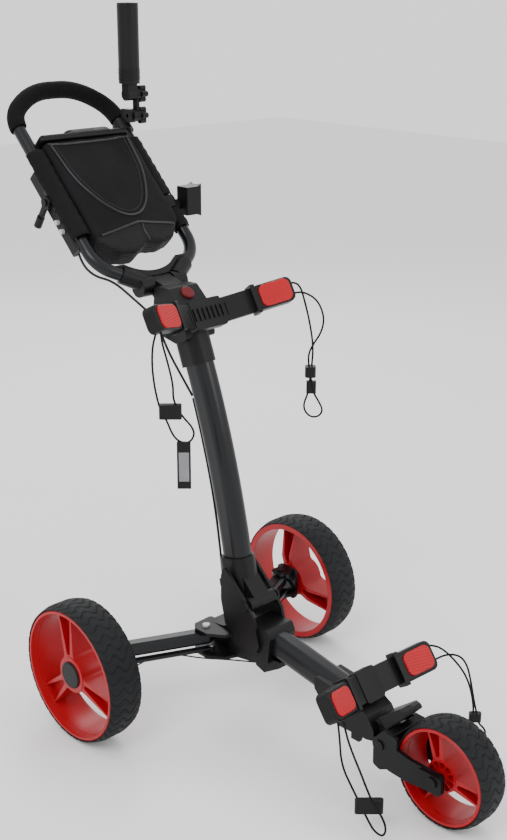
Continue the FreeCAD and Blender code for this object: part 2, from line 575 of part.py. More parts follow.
def handle_yoke(tube):
    """Forked casting that joins the loop's feet over the hinge, with a concave web and the hinge pin."""
    x, z = YOKE
    run, normal = handle_directions()
    hinge = P(x, 0, z)
    web = Part.makePolygon([hinge + run * a + V(0, y, 0) - normal * 9.0 for a, y in
                            ((0, -56), (0, 56), (20, 72), (52, 96), (52, -96), (20, -72), (0, -56))])
    web = Part.Face(web).extrude(normal * 18.0)
    web = web.cut(cylinder(hinge + run * 128.0 - normal * 20.0, normal, 100.0, 40.0))
    yoke = web
    for _, side in SIDES:
        y0 = 25.0 if side > 0 else -56.0
        yoke = yoke.fuse(cylinder(P(x, y0, z), Y_AXIS, 20.0, 31.0))
        foot = P(x - 4, side * 44, z + 8)
        toward = (P(ARM_LOW[0], side * ARM_Y, ARM_LOW[1]) - foot).normalize()
        yoke = yoke.fuse(cylinder(foot - toward * 4.0, toward, 17.5, 48.0))
    yoke = yoke.cut(cylinder(P(x, -24.5, z), Y_AXIS, 18.5, 49.0)).cut(tube)
    return yoke.fuse(cylinder(P(x, -56, z), Y_AXIS, PIN_R, 112.0)).removeSplitter()


def handle_directions():
    """Unit vectors up the arms, and out of the arms' plane towards the front."""
    run = V(ARM_HIGH[0] - ARM_LOW[0], 0, ARM_HIGH[1] - ARM_LOW[1]).normalize()
    return run, V(run.z, 0, -run.x)


def handle_point(along, out, y):
    """A point in the handle's own frame: along the arms from their low corner, and out of their plane."""
    run, normal = handle_directions()
    return P(ARM_LOW[0], y, ARM_LOW[1]) + run * along + normal * out


def handle_block(outline, o0, o1):
    """A block with an outline of (along, y) points in the arms' plane, from o0 to o1 out of it."""
    loop = Part.makePolygon([handle_point(a, o0, y) for a, y in outline + outline[:1]])
    return Part.Face(loop).extrude(handle_directions()[1] * (o1 - o0))


def pouch():
    """Fabric pouch slung between the arms, with two rounded lobes towards the yoke."""
    edge = ARM_Y - HANDLE_D / 2 - 2.5
    outline = [(284, -edge), (284, edge), (66, edge), (24, 74), (16, 40), (22, 4), (2, -30), (6, -70), (40, -edge)]
    body = handle_block(outline, -22.0, 25.0)
    body = soften(body, 14.0, handle_directions()[1])
    return body.makeFillet(7.0, [e for e in body.Edges if abs(e.CenterOfMass.sub(handle_point(0, 25, 0)).dot(
        handle_directions()[1])) < 0.01])


def console():
    """Moulded tray across the top of the pouch with a raised rounded lid."""
    run, normal = handle_directions()
    edge = ARM_Y - HANDLE_D / 2 - 2.5
    tray = handle_block([(284.5, -edge), (298, -edge), (298, edge), (284.5, edge)], -24.0, 28.0)
    tray = soften(tray, 6.0, run)
    lid = handle_block([(290, -42), (311, -42), (311, 76), (290, 76)], -20.0, 25.0)
    lid = soften(lid, 16.0, run)
    lid = lid.makeFillet(9.0, [e for e in lid.Edges if e.CenterOfMass.sub(handle_point(311, 0, 0)).dot(run) > -0.01])
    return tray.fuse(lid).removeSplitter()


def arm_clamp(y, along, length):
    """A round collar on one arm of the loop, before the arm is cut out of it."""
    return cylinder(handle_point(along, 0, y), handle_directions()[0], HANDLE_D / 2 + 6, length)


def brake_bracket():
    """Long casing clamped to the outside of the right arm, with the brake lever's pivot pin."""
    collar = arm_clamp(-ARM_Y, 138, 50)
    normal = handle_directions()[1]
    low, high = handle_point(45, -15, BRAKE_Y), handle_point(235, -15, BRAKE_Y)
    casing = Part.Face(rounded_section(low, Y_AXIS, normal, 14.0, 30.0, 6.0)).extrude(high - low)
    at = handle_point(163, -8, 0)
    boss = cylinder(at + V(0, BRAKE_Y - 9.4, 0), Y_AXIS, 11.0, 9.0)
    pin = cylinder(at + V(0, BRAKE_Y - 19.0, 0), Y_AXIS, 4.0, 16.0)
    head = cylinder(at + V(0, BRAKE_Y - 20.8, 0), Y_AXIS, 7.0, 2.4)
    adjusters = [cylinder(handle_point(a, -14, BRAKE_Y - 14.0), Y_AXIS, 5.0, 8.0) for a in (96, 118)]
    whole = collar.fuse([casing, boss, pin, head] + adjusters)
    return whole.cut(cylinder(handle_point(30, 0, -ARM_Y), high - low, HANDLE_D / 2, 220.0)).removeSplitter()


def brake_lever():
    """Flat lever with a round grip end, turning on the casing's pin."""
    run, normal = handle_directions()
    at = handle_point(163, -8, BRAKE_Y - 13.8)
    disc = cylinder(at + V(0, 4, 0), V(0, -1, 0), 13.0, 8.0)
    tip = at - normal * 60.0 - run * 12.0
    stem = bar(at, tip, Y_AXIS, 8.0, 14.0, 3.0)
    grip = cylinder(tip, (at - tip).normalize(), 8.0, 24.0)
    return disc.fuse([stem, grip]).cut(cylinder(at + V(0, -6, 0), Y_AXIS, 4.05, 12.0)).removeSplitter()


# ---- umbrella holder on the left arm ------------------------------------------------------------
UMBRELLA_BASE = (-352.0, 1140.0)
UMBRELLA_Y = 150.0
UMBRELLA_KNEE = (-352.0, 1184.0)
UMBRELLA_BORE, UMBRELLA_R, UMBRELLA_LONG = 16.0, 22.0, 160.0


def umbrella_clamp():
    """Collar on the left arm with the pivot that the swivel link turns on."""
    collar = arm_clamp(ARM_Y, 302, 26)
    x, z = UMBRELLA_BASE
    arm = box(x - 22, x + 8, ARM_Y - 4, ARM_Y + 12, z - 14, z + 14)
    barrel = cylinder(P(x, ARM_Y + 6, z), Y_AXIS, 13.0, 10.0)
    clamp = collar.fuse([soften(arm, 5.0, Y_AXIS), barrel])
    clamp = clamp.cut(round_tube(handle_edges(), HANDLE_D))
    return clamp.cut(cylinder(P(x, ARM_Y - 5, z), Y_AXIS, 4.05, 30.0)).removeSplitter()


def umbrella_swivel():
    """Short link between the clamp's pivot and the tube's pivot."""
    (x, z), (kx, kz) = UMBRELLA_BASE, UMBRELLA_KNEE
    low = cylinder(P(x, ARM_Y + 16.4, z), Y_AXIS, 13.0, 8.0)
    neck = box(x - 7, x + 7, ARM_Y + 17, ARM_Y + 24, z, kz)
    high = cylinder(P(kx, ARM_Y + 16.4, kz), Y_AXIS, 13.0, 8.0)
    swivel = low.fuse([neck, high])
    for px, pz in (UMBRELLA_BASE, UMBRELLA_KNEE):
        swivel = swivel.cut(cylinder(P(px, ARM_Y + 15, pz), Y_AXIS, 4.05, 11.0))
    return swivel.removeSplitter()


def umbrella_tube():
    """Socket for an umbrella's shaft, blind at the bottom, with the lug of its tilt pivot."""
    kx, kz = UMBRELLA_KNEE
    y = ARM_Y + 4
    low = P(kx, y, kz + 22)
    lug = cylinder(P(kx, ARM_Y - 8, kz), Y_AXIS, 13.0, 24.0)
    neck = box(kx - 11, kx + 11, ARM_Y - 8, ARM_Y + 16, kz, kz + 26)
    tube = cylinder(low, Z_AXIS, UMBRELLA_R, UMBRELLA_LONG)
    for k in range(7):
        tube = tube.fuse(cylinder(low + V(0, 0, 8.0 + 3.4 * k), Z_AXIS, UMBRELLA_R + 0.9, 1.7))
    tube = tube.fuse([lug, neck])
    tube = tube.cut(cylinder(low + V(0, 0, 10), Z_AXIS, UMBRELLA_BORE, UMBRELLA_LONG))
    return tube.cut(cylinder(P(kx, ARM_Y - 9, kz), Y_AXIS, 4.05, 30.0)).removeSplitter()


def knob(at, y, reach_back):
    """Lobed clamping knob with its screw reaching back through the joint."""
    x, z = at
    body = cylinder(P(x, y, z), Y_AXIS, 12.0, 15.0)
    for k in range(5):
        angle = 2 * pi * k / 5
        body = body.fuse(cylinder(P(x + 12 * cos(angle), y, z + 12 * sin(angle)), Y_AXIS, 6.0, 15.0))
    screw = cylinder(P(x, y - reach_back, z), Y_AXIS, 4.0, reach_back + 1)
    return body.fuse(screw).removeSplitter()


# ---- accessory mount on the left arm ------------------------------------------------------------
MOUNT_ALONG = 110.0


def mount_clamp():
    """Collar on the left arm with the stub that the accessory mount turns on."""
    at = handle_point(MOUNT_ALONG, 0, 0)
    collar = arm_clamp(ARM_Y, MOUNT_ALONG - 14, 28)
    stem = cylinder(at + V(0, ARM_Y + 12, 0), Y_AXIS, 11.0, 14.0)
    pin = cylinder(at + V(0, ARM_Y + 20, 0), Y_AXIS, 4.0, 13.0)
    return collar.fuse([stem, pin]).cut(round_tube(handle_edges(), HANDLE_D)).removeSplitter()


def accessory_mount():
    """Block on the clamp's pin that flares into a tall saddle for a holder or a gadget."""
    at = handle_point(MOUNT_ALONG, 0, 0) + V(12, ARM_Y, 8)
    bottom, top = [V(-17, 27, -29), V(-17, 46, -29)], [V(-17, 46, 29), V(-17, 27, 29)]
    low, high = V(-17, 71, -37.5), V(-17, 71, 37.5)
    loop = Part.Wire([Part.LineSegment(bottom[0], bottom[1]).toShape(),
                      Part.Arc(bottom[1], V(-17, 61, -31), low).toShape(),
                      Part.LineSegment(low, high).toShape(),
                      Part.Arc(high, V(-17, 61, 31), top[0]).toShape(),
                      Part.LineSegment(top[0], top[1]).toShape(),
                      Part.LineSegment(top[1], bottom[0]).toShape()])
    mount = Part.Face(loop).extrude(V(34, 0, 0))
    mount = mount.cut(cylinder(V(0, 88, -60), Z_AXIS, 26.0, 120.0))
    mount = soften(mount, 2.0, Z_AXIS)
    mount.translate(at)
    bore = cylinder(handle_point(MOUNT_ALONG, 0, ARM_Y + 26), Y_AXIS, 4.05, 7.5)
    return mount.cut(bore).removeSplitter()


# ---- cords and cables ---------------------------------------------------------------------------
# Elastic bag cords: each leaves its pod, hangs through a cord lock, and comes back.
CORDS = {
    "upper_cord_right": [
        (80, -160, 822), (78, -171, 800), (75, -174, 761), (76, -171, 714), (82, -165, 671), (87, -160, 656),
        (92, -154, 640), (98, -148, 617), (105, -140, 603), (116, -129, 598), (123, -121, 605),
        (127, -118, 619), (122, -122, 633), (112, -133, 650), (105, -141, 668), (100, -146, 686),
        (100, -145, 712), (94, -153, 758), (86, -160.5, 799), (85.65, -159.6, 812.3)],
    "upper_cord_left": [
        (75, 175.8, 847.2), (80.5, 189, 848.5), (90, 196, 838), (98, 198, 815), (106, 206, 771), (112, 212, 720),
        (110, 211, 678), (107.5, 208.5, 649), (105.5, 206.5, 620), (99, 200, 597), (101, 202, 580),
        (111, 211, 568), (123, 221, 571), (129, 226, 584), (125, 219, 602), (116.5, 209, 624), (114.5, 205.5, 649),
        (110.5, 201.5, 678), (109.5, 200.5, 704), (115, 208, 724), (125, 219, 746), (129, 224, 772),
        (125, 221, 796), (115, 214, 816), (101, 200, 828), (91, 187.5, 830.5), (85.9, 175.8, 828.1)],
    "lower_cord_right": [
        (508, -124, 184), (516, -129, 174), (521, -130, 146), (524, -130, 118), (534, -131, 95),
        (550, -132, 77), (566, -134, 62), (581, -136, 48), (596, -137, 32), (614, -139, 17), (636, -141, 18),
        (644, -142, 36), (636, -141, 54), (606, -138, 74), (592, -137, 92), (577, -135, 112), (562, -134, 132),
        (546, -132, 153), (535, -131, 174), (526, -128, 192)],
    "lower_cord_left": [
        (476, 140, 218), (490, 160, 218), (506, 177, 207), (527, 201, 171), (539, 215, 138), (546, 223, 98),
        (548, 225, 73), (548.5, 225, 50), (541, 219, 36), (540, 218, 22), (548, 224, 9), (562, 232, 9),
        (571, 238, 21), (570, 236, 36), (559.5, 226, 50), (558, 222, 73), (553, 218, 98), (545, 212, 148),
        (538, 208, 176), (528, 199, 194), (514, 185, 198), (502, 166, 194), (500, 142, 190)],
}


def cord_lock(at, wide, deep, tall):
    """A rounded block round both strands, its width across them."""
    block = Part.makeBox(wide, deep, tall, V(-wide / 2, -deep / 2, -tall / 2))
    block = soften(block, deep * 0.35, Z_AXIS)
    block.rotate(V(0, 0, 0), Z_AXIS, STRAND_TURN)
    block.translate(P(*at))
    return block


def cord_fittings():
    """Cord locks, the webbing tab on the right upper cord and the hook on the left one."""
    tab = cord_lock((113, -133, 555), 26.0, 3.6, 94.0)
    hook = cord_lock((112, 208, 634), 20.0, 9.0, 26.0)
    return {
        "upper_fittings_right": Part.Compound([cord_lock((96.5, -150, 661), 42.0, 13.0, 28.0), tab]),
        "upper_fittings_left": Part.Compound([cord_lock((110.5, 206.5, 667), 22.0, 21.0, 22.0), hook]),
        "lower_fitting_right": cord_lock((599, -137, 60), 50.0, 13.0, 26.0),
        "lower_fitting_left": cord_lock((553.3, 224, 61), 24.0, 13.0, 18.0),
    }


# Brake cable: from the casing's low end round the loop's corner, across to the upright, then down
# its rear to the socket. The wire runs from the cable anchor to the right wheel's bracket.
CABLE_HANDLE = [(-189.5, -134.5, 908.3), (-174, -139, 891), (-154, -126, 869), (-131, -98, 859),
                (-94, -76, 825), (-60, -55, 792), (-52, -46, 759), (-37, -36, 716), (-13, -20, 664),
                (-0.3, -12, 637)]
CABLE_UPRIGHT = [(1.3, -12, 633), (22.5, -11.5, 570), (40, -11, 510), (56, -11, 450), (69, -11, 387),
                 (78, -11, 330), (81, -11, 305), (87, -11, 270)]
CABLE_LEG = [(199, -21, 129), (150, -52, 127), (110, -88, 127), (66, -113, 127), (44, -133, 127.5),
             (38, -165, 128.5), (43, -205, 128), (44, -228, 131), (28.5, -252.8, 138)]


# ---- what leaves this script --------------------------------------------------------------------
parts = {}


def build():
    for name, side in SIDES:
        parts["rim_" + name], parts["tyre_" + name], parts["hub_cap_" + name] = rear_wheel(side)
        parts["leg_tube_" + name], parts["leg_link_" + name] = leg_pieces(side)
        parts["hub_bracket_" + name] = hub_bracket(side)
    parts["front_rim"], parts["front_tyre"] = front_wheel()
    parts["front_fork"], housing = front_fork(), front_housing()
    parts["lower_tube"], parts["knuckle_block"] = lower_tube(), knuckle_block()
    parts["leg_bolts"], parts["hinge_cheeks"] = leg_bolts(), hinge_cheeks().cut(parts["knuckle_block"])
    parts["cable_bracket"], parts["front_housing"] = cable_bracket(), housing
    parts["base_rest"] = base_rest(housing)

    tube = upright_solid(0.0)
    parts["upright_tube"] = tube.cut(upright_solid(TUBE_WALL))
    parts["upright_socket"], parts["upper_housing"] = upright_socket(tube), upper_housing(tube)
    parts["release_button"] = release_button()

    for level, sizes, ribs, behind in (("upper", UPPER, 9, parts["upper_housing"]), ("lower", LOWER, 0, housing)):
        bracket, pods = bag_bracket(*sizes, ribs).cut(behind), []
        for name, side in SIDES:
            pod, parts["%s_button_%s" % (level, name)] = pod_and_button(*sizes, side)
            pods.append(pod)
        parts[level + "_pods"] = Part.Compound(pods)
        parts[level + "_bag_bracket"] = bracket.cut(pods)

    loop = round_tube(handle_edges(), HANDLE_D)
    parts["handle_yoke"] = handle_yoke(loop)
    parts["handle_tube"] = loop.cut([round_tube(handle_edges(), HANDLE_D - 2 * HANDLE_WALL), parts["handle_yoke"]])
    parts["brake_bracket"], parts["brake_lever"] = brake_bracket(), brake_lever()
    parts["umbrella_clamp"], parts["umbrella_swivel"] = umbrella_clamp(), umbrella_swivel()
    parts["umbrella_tube"] = umbrella_tube()
    parts["clamp_knob"] = knob(UMBRELLA_BASE, ARM_Y + 24.8, 18.8)
    parts["tube_knob"] = knob(UMBRELLA_KNEE, ARM_Y + 24.8, 32.8)
    parts["mount_clamp"], parts["accessory_mount"] = mount_clamp(), accessory_mount()
    parts["foam_grip"] = foam_grip().cut(parts["umbrella_clamp"])
    parts["accessory_pouch"] = pouch().cut([parts["brake_bracket"], parts["mount_clamp"]])
    parts["console_tray"] = console()

    for name, points in CORDS.items():
        parts[name] = cord_tube(name, points, CORD_D)
    parts.update(cord_fittings())
    for name, points, diameter in (("brake_cable_handle", CABLE_HANDLE, CABLE_D),
                                   ("brake_cable_upright", CABLE_UPRIGHT, CABLE_D),
                                   ("leg_cable", CABLE_LEG, WIRE_D)):
        parts[name] = cord_tube(name, points, diameter)


os.makedirs("parts", exist_ok=True)
build()
for name, shape in parts.items():
    shape.exportStep("parts/%s.step" % name)
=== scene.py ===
"""Looks of the folding golf push cart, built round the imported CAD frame, in metres."""
import json
from math import cos, hypot, pi, radians, sin

import bpy
from mathutils import Matrix, Vector, noise


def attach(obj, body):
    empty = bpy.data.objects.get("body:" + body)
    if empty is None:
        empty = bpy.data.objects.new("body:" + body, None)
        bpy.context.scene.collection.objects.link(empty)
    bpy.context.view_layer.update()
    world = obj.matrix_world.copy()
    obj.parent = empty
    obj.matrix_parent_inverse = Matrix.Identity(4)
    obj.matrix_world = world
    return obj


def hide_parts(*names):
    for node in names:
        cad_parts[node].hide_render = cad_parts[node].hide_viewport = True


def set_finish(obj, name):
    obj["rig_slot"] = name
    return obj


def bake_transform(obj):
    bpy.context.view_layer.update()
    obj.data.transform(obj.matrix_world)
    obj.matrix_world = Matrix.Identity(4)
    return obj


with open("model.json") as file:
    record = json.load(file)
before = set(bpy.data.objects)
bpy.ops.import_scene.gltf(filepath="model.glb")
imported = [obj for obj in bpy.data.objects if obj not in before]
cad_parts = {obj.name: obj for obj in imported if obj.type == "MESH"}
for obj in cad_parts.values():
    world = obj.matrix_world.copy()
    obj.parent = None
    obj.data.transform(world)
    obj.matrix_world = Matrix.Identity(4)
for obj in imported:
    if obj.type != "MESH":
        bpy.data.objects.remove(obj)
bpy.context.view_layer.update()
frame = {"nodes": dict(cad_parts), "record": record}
NODES = frame["nodes"]
REAR_AXLE_X = -0.1535  # where x = 0 of part.py lies in the frame


def at(x, y, z):
    """A point given in part.py's own millimetres."""
    return Vector((x / 1000 + REAR_AXLE_X, y / 1000, z / 1000))


# ---- materials ----------------------------------------------------------------------------------
def material(name, colour, rough, spread=0.18, spot=6.0, grain=900.0, bump=0.05, shine=0.25,
             pattern=None):
    """A principled shader with a slightly uneven colour, uneven gloss and a fine surface grain."""
    made = bpy.data.materials.new(name)
    made.use_nodes = True
    tree = made.node_tree
    shader = tree.nodes["Principled BSDF"]
    shader.inputs["Specular IOR Level"].default_value = shine
    place = tree.nodes.new("ShaderNodeTexCoord").outputs["Object"]

    cloud = tree.nodes.new("ShaderNodeTexNoise")
    cloud.inputs["Scale"].default_value = spot
    cloud.inputs["Detail"].default_value = 4.0
    tree.links.new(place, cloud.inputs["Vector"])
    tint = tree.nodes.new("ShaderNodeValToRGB")
    tint.color_ramp.elements[0].position = 0.3
    tint.color_ramp.elements[1].position = 0.7
    tint.color_ramp.elements[0].color = [c * (1 - spread) for c in colour] + [1]
    tint.color_ramp.elements[1].color = [c * (1 + spread) for c in colour] + [1]
    tree.links.new(cloud.outputs["Fac"], tint.inputs["Fac"])
    tree.links.new(tint.outputs["Color"], shader.inputs["Base Color"])
    gloss = tree.nodes.new("ShaderNodeMapRange")
    gloss.inputs["To Min"].default_value = rough - 0.05
    gloss.inputs["To Max"].default_value = rough + 0.05
    tree.links.new(cloud.outputs["Fac"], gloss.inputs["Value"])
    tree.links.new(gloss.outputs["Result"], shader.inputs["Roughness"])

    height = tree.nodes.new("ShaderNodeTexNoise")
    height.inputs["Scale"].default_value = grain
    tree.links.new(place, height.inputs["Vector"])
    relief = height.outputs["Fac"]
    if pattern:
        relief = pattern(tree, place, relief)
    raised = tree.nodes.new("ShaderNodeBump")
    raised.inputs["Strength"].default_value = bump
    raised.inputs["Distance"].default_value = 0.001
    tree.links.new(relief, raised.inputs["Height"])
    tree.links.new(raised.outputs["Normal"], shader.inputs["Normal"])
    return made


def waves(tree, place, direction, scale):
    """Height of one set of parallel threads."""
    wave = tree.nodes.new("ShaderNodeTexWave")
    wave.bands_direction = direction
    wave.inputs["Scale"].default_value = scale
    tree.links.new(place, wave.inputs["Vector"])
    return wave.outputs["Fac"]


def crossed(kind, directions, scale):
    """A pattern of two sets of threads joined by a Math node of that kind."""
    def pattern(tree, place, relief):
        joined = tree.nodes.new("ShaderNodeMath")
        joined.operation = kind
        for k, direction in enumerate(directions):
            tree.links.new(waves(tree, place, direction, scale), joined.inputs[k])
        total = tree.nodes.new("ShaderNodeMath")
        total.operation = "ADD"
        tree.links.new(joined.outputs[0], total.inputs[0])
        tree.links.new(relief, total.inputs[1])
        return total.outputs[0]
    return pattern


def ribs(direction, scale):
    """A pattern of fine parallel ribs."""
    return lambda tree, place, relief: waves(tree, place, direction, scale)


LOOKS = {
    "red_plastic": material("red_plastic", (0.33, 0.0045, 0.009), 0.36, 0.08, 9, 700, 0.04, 0.28),
    "tyre_foam": material("tyre_foam", (0.0075, 0.008, 0.009), 0.66, 0.3, 14, 1500, 0.3, 0.2),
    "black_plastic": material("black_plastic", (0.0042, 0.0042, 0.0048), 0.42, 0.2, 8, 1800, 0.16,
                              0.2),
    "black_paint": material("black_paint", (0.004, 0.0046, 0.006), 0.3, 0.2, 5, 1200, 0.03, 0.3),
    "steel": material("steel", (0.42, 0.42, 0.44), 0.35, 0.08, 30, 900, 0.06, 0.5),
    "grip_foam": material("grip_foam", (0.0036, 0.0036, 0.004), 0.85, 0.3, 30, 2200, 0.6, 0.12),
    "pouch_fabric": material("pouch_fabric", (0.0048, 0.0048, 0.0056), 0.78, 0.3, 18, 1500, 0.4,
                             0.15, crossed("MAXIMUM", "XZ", 190.0)),
    "cord_cover": material("cord_cover", (0.005, 0.005, 0.0056), 0.7, 0.3, 60, 1800, 0.5, 0.15,
                           crossed("MULTIPLY", "XZ", 240.0)),
    "cable_sheath": material("cable_sheath", (0.0045, 0.0045, 0.005), 0.38, 0.2, 20, 1500, 0.05,
                             0.25),
}
NET = material("pouch_net", (0.0075, 0.0075, 0.0085), 0.7, 0.3, 30, 900, 0.9, 0.2,
               crossed("MINIMUM", "XZ", 60.0))
PIPING = material("pouch_piping", (0.004, 0.004, 0.0048), 0.32, 0.2, 20, 900, 0.1, 0.4)
THREAD = material("thread", (0.02, 0.02, 0.022), 0.6, 0.2, 60, 1800, 0.2)
LABEL = material("plain_grey_patch", (0.2, 0.2, 0.21), 0.6, 0.1, 40, 1500, 0.3)
DARK_RED = material("dark_red_cap", (0.11, 0.003, 0.005), 0.35, 0.08, 9, 700, 0.05)
BUTTON = material("red_button", (0.38, 0.005, 0.010), 0.42, 0.08, 9, 700, 0.5, 0.25,
                  ribs("Z", 70.0))
SILVER = LOOKS["steel"]

for row in frame["record"]["subparts"]:
    node = NODES[row["node"]]
    node.data.materials.clear()
    node.data.materials.append(LOOKS[row["material_slot"]])
    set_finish(node, row["material_slot"])
NODES["release_button"].data.materials[0] = DARK_RED
for level in ("upper", "lower"):
    for side in ("right", "left"):
        NODES["%s_button_%s" % (level, side)].data.materials[0] = BUTTON
casing = NODES["brake_bracket"].data
casing.materials.append(SILVER)


# ---- making pieces ------------------------------------------------------------------------------
def mesh_piece(name, points, faces, look, slot, smooth=True):
    """A piece made from points and faces."""
    data = bpy.data.meshes.new(name)
    data.from_pydata([tuple(p) for p in points], [], faces)
    data.materials.append(look)
    data.polygons.foreach_set("use_smooth", [smooth] * len(data.polygons))
    data.update()
    piece = bpy.data.objects.new(name, data)
    bpy.context.scene.collection.objects.link(piece)
    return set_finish(piece, slot)


def line_piece(name, points, diameter, look, slot):
    """A round cord along the open route."""
    curve = bpy.data.curves.new(name, "CURVE")
    curve.dimensions = "3D"
    curve.bevel_depth = diameter / 2
    curve.bevel_resolution = 4
    curve.use_fill_caps = True
    spline = curve.splines.new("NURBS")
    spline.points.add(len(points) - 1)
    for point, place in zip(spline.points, points):
        point.co = (*place, 1)
    spline.order_u = 3
    spline.use_endpoint_u = True
    spline.resolution_u = 10
    curve.materials.append(look)
    piece = bpy.data.objects.new(name, curve)
    bpy.context.scene.collection.objects.link(piece)
    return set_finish(piece, slot)


def to_mesh(piece):
    """The same piece with its curve or modifiers turned into a mesh."""
    graph = bpy.context.evaluated_depsgraph_get()
    data = bpy.data.meshes.new_from_object(piece.evaluated_get(graph))
    name, slot = piece.name, piece["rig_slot"]
    bpy.data.objects.remove(piece)
    made = bpy.data.objects.new(name, data)
    bpy.context.scene.collection.objects.link(made)
    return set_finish(made, slot)


def shade_smooth(piece):
    piece.data.polygons.foreach_set("use_smooth", [True] * len(piece.data.polygons))


def soft_copy(node, name, voxel, smoothing):
    """A CAD solid as an even, rounded skin, to be shaped as fabric or foam."""
    piece = bpy.data.objects.new(name, NODES[node].data.copy())
    bpy.context.scene.collection.objects.link(piece)
    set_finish(piece, NODES[node]["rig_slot"])
    skin = piece.modifiers.new("skin", "REMESH")
    skin.mode = "VOXEL"
    skin.voxel_size = voxel
    rounding = piece.modifiers.new("rounding", "SMOOTH")
    rounding.iterations = smoothing
    rounding.factor = 0.6
    piece = to_mesh(piece)
    shade_smooth(piece)
    return piece


# ---- tyres --------------------------------------------------------------------------------------
BEAD_INSET, BEAD_DEPTH = 0.0062, 0.0035
SHOULDER_DROP = 0.006
GROOVE_DEPTH, SIPE_DEPTH = 0.0021, 0.0011
STEPS_PER_LUG = 16


def tyre(name, centre, radius, width, lip, count, outer, body):
    """Foam tyre with wavy sipes across the tread that notch both shoulders."""
    half, shoulder = width / 2, radius - SHOULDER_DROP
    seat = lip - BEAD_DEPTH
    crown = [(-half + width * k / 24, 1 - (2 * k / 24 - 1) ** 2) for k in range(25)]
    profile = [(-half + BEAD_INSET, seat), (-half + BEAD_INSET, lip + 0.0005),
               (-half + 0.0006, lip + 0.0007), (-half, (lip + shoulder) / 2)]
    profile += [(y, shoulder + (radius - shoulder) * min(1.0, 1.25 * c)) for y, c in crown]
    profile += [(half, (lip + shoulder) / 2), (half - 0.0006, lip + 0.0007),
                (half - BEAD_INSET, lip + 0.0005), (half - BEAD_INSET, seat)]
    turns, rows = count * STEPS_PER_LUG, len(profile)
    points = []
    for i in range(turns):
        angle = 2 * pi * i / turns
        for y, r in profile:
            if r >= shoulder - 1e-9:
                across = y / half
                sway = 0.34 * sin(2 * pi * across * 1.1) + 0.5 * abs(across) * outer
                phase = (count * i / turns + sway) % 1
                groove = max(0.0, 1 - abs(phase - 0.5) / 0.11)
                sipe = max(0.0, 1 - abs((phase + 0.34) % 1 - 0.5) / 0.07)
                sipe *= 0.25 < abs(across) < 0.85
                r -= GROOVE_DEPTH * min(1.0, 1.6 * groove) + SIPE_DEPTH * sipe
            points.append((centre.x + r * cos(angle), centre.y + y, centre.z + r * sin(angle)))
    faces = []
    for i in range(turns):
        a, b = i * rows, (i + 1) % turns * rows
        for k in range(rows):
            n = (k + 1) % rows
            faces.append((a + k, b + k, b + n, a + n))
    piece = mesh_piece("foam_" + name, points, faces, LOOKS["tyre_foam"], "tyre_foam")
    piece.data.set_sharp_from_angle(angle=radians(35))
    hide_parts(name)
    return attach(piece, body)


for name, side in (("right", -1), ("left", 1)):
    tyre("tyre_" + name, at(0, side * 301.5, 140), 0.140, 0.074, 0.1315, 40, side, "wheel_" + name)
tyre("front_tyre", at(666, 0, 100), 0.100, 0.067, 0.091, 30, 1, "front_wheel")


# ---- handle: its own directions -----------------------------------------------------------------
ARM_LOW, ARM_HIGH, ARM_Y = (-150, 890), (-412, 1152), 125
ARM_LONG = hypot(ARM_HIGH[0] - ARM_LOW[0], ARM_HIGH[1] - ARM_LOW[1])
RUN = Vector((ARM_HIGH[0] - ARM_LOW[0], 0, ARM_HIGH[1] - ARM_LOW[1])) / ARM_LONG
OUT = Vector((RUN.z, 0, -RUN.x))
ARM_START = at(ARM_LOW[0], 0, ARM_LOW[1])


def on_handle(along, out, y):
    """A point given in millimetres along the arm, out of its front and to the left."""
    return ARM_START + RUN * (along / 1000) + OUT * (out / 1000) + Vector((0, y / 1000, 0))


# the faces of the brake casing that belong to its two silver adjusters
ADJUSTER_Y, ADJUSTER_ALONG = -0.1415, 0.126
for face in casing.polygons:
    if face.center.y < ADJUSTER_Y and (face.center - ARM_START).dot(RUN) < ADJUSTER_ALONG:
        face.material_index = 1


# ---- foam grip ----------------------------------------------------------------------------------
grip = soft_copy("foam_grip", "foam_sleeve", 0.0028, 6)
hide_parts("foam_grip")
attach(grip, "handle")


# ---- pouch --------------------------------------------------------------------------------------
NET_TOP, BINDING_TOP, NET_SLOPE = 62, 64, 0.16
CAST_FROM = 90.0
pouch = soft_copy("accessory_pouch", "fabric_pouch", 0.0035, 8)
pouch.data.materials.append(NET)
for vertex in pouch.data.vertices:
    p = vertex.co
    along, out = (p - ARM_START).dot(RUN) * 1000, (p - ARM_START).dot(OUT) * 1000
    fold = noise.noise(p * 14.0) * 2.2 + noise.noise(p * 34.0) * 1.0
    sag = 5.0 * max(0.0, out / 25) * sin(pi * min(1.0, max(0.0, along / 290))) * cos(p.y * 14.0)
    vertex.co = p + vertex.normal * (fold / 1000) + OUT * (sag / 1000)
pouch.data.update()
for face in pouch.data.polygons:
    if (face.center - ARM_START).dot(RUN) * 1000 < NET_TOP - NET_SLOPE * abs(face.center.y * 1000):
        face.material_index = 1
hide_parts("accessory_pouch")
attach(pouch, "handle")


def on_pouch(name, points, diameter, look):
    """A cord or seam laid on the pouch's front, found by dropping each point onto the fabric."""
    places = []
    for along, y in points:
        start = on_handle(along, CAST_FROM, y)
        hit, place, _, _ = pouch.ray_cast(pouch.matrix_world.inverted() @ start, -OUT)
        places.append(pouch.matrix_world @ place if hit else on_handle(along, 20, y))
    piece = line_piece(name, places, diameter, look, "pouch_fabric")
    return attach(piece, "handle")


def arc_points(ends, sag, count=40):
    """Points of a U-shaped seam between two ends, (along, y) in millimetres."""
    (a0, y0), (a1, y1) = ends
    return [(a0 + (a1 - a0) * t - sag * sin(pi * t) ** 0.45, y0 + (y1 - y0) * t) for t in
            [k / (count - 1) for k in range(count)]]


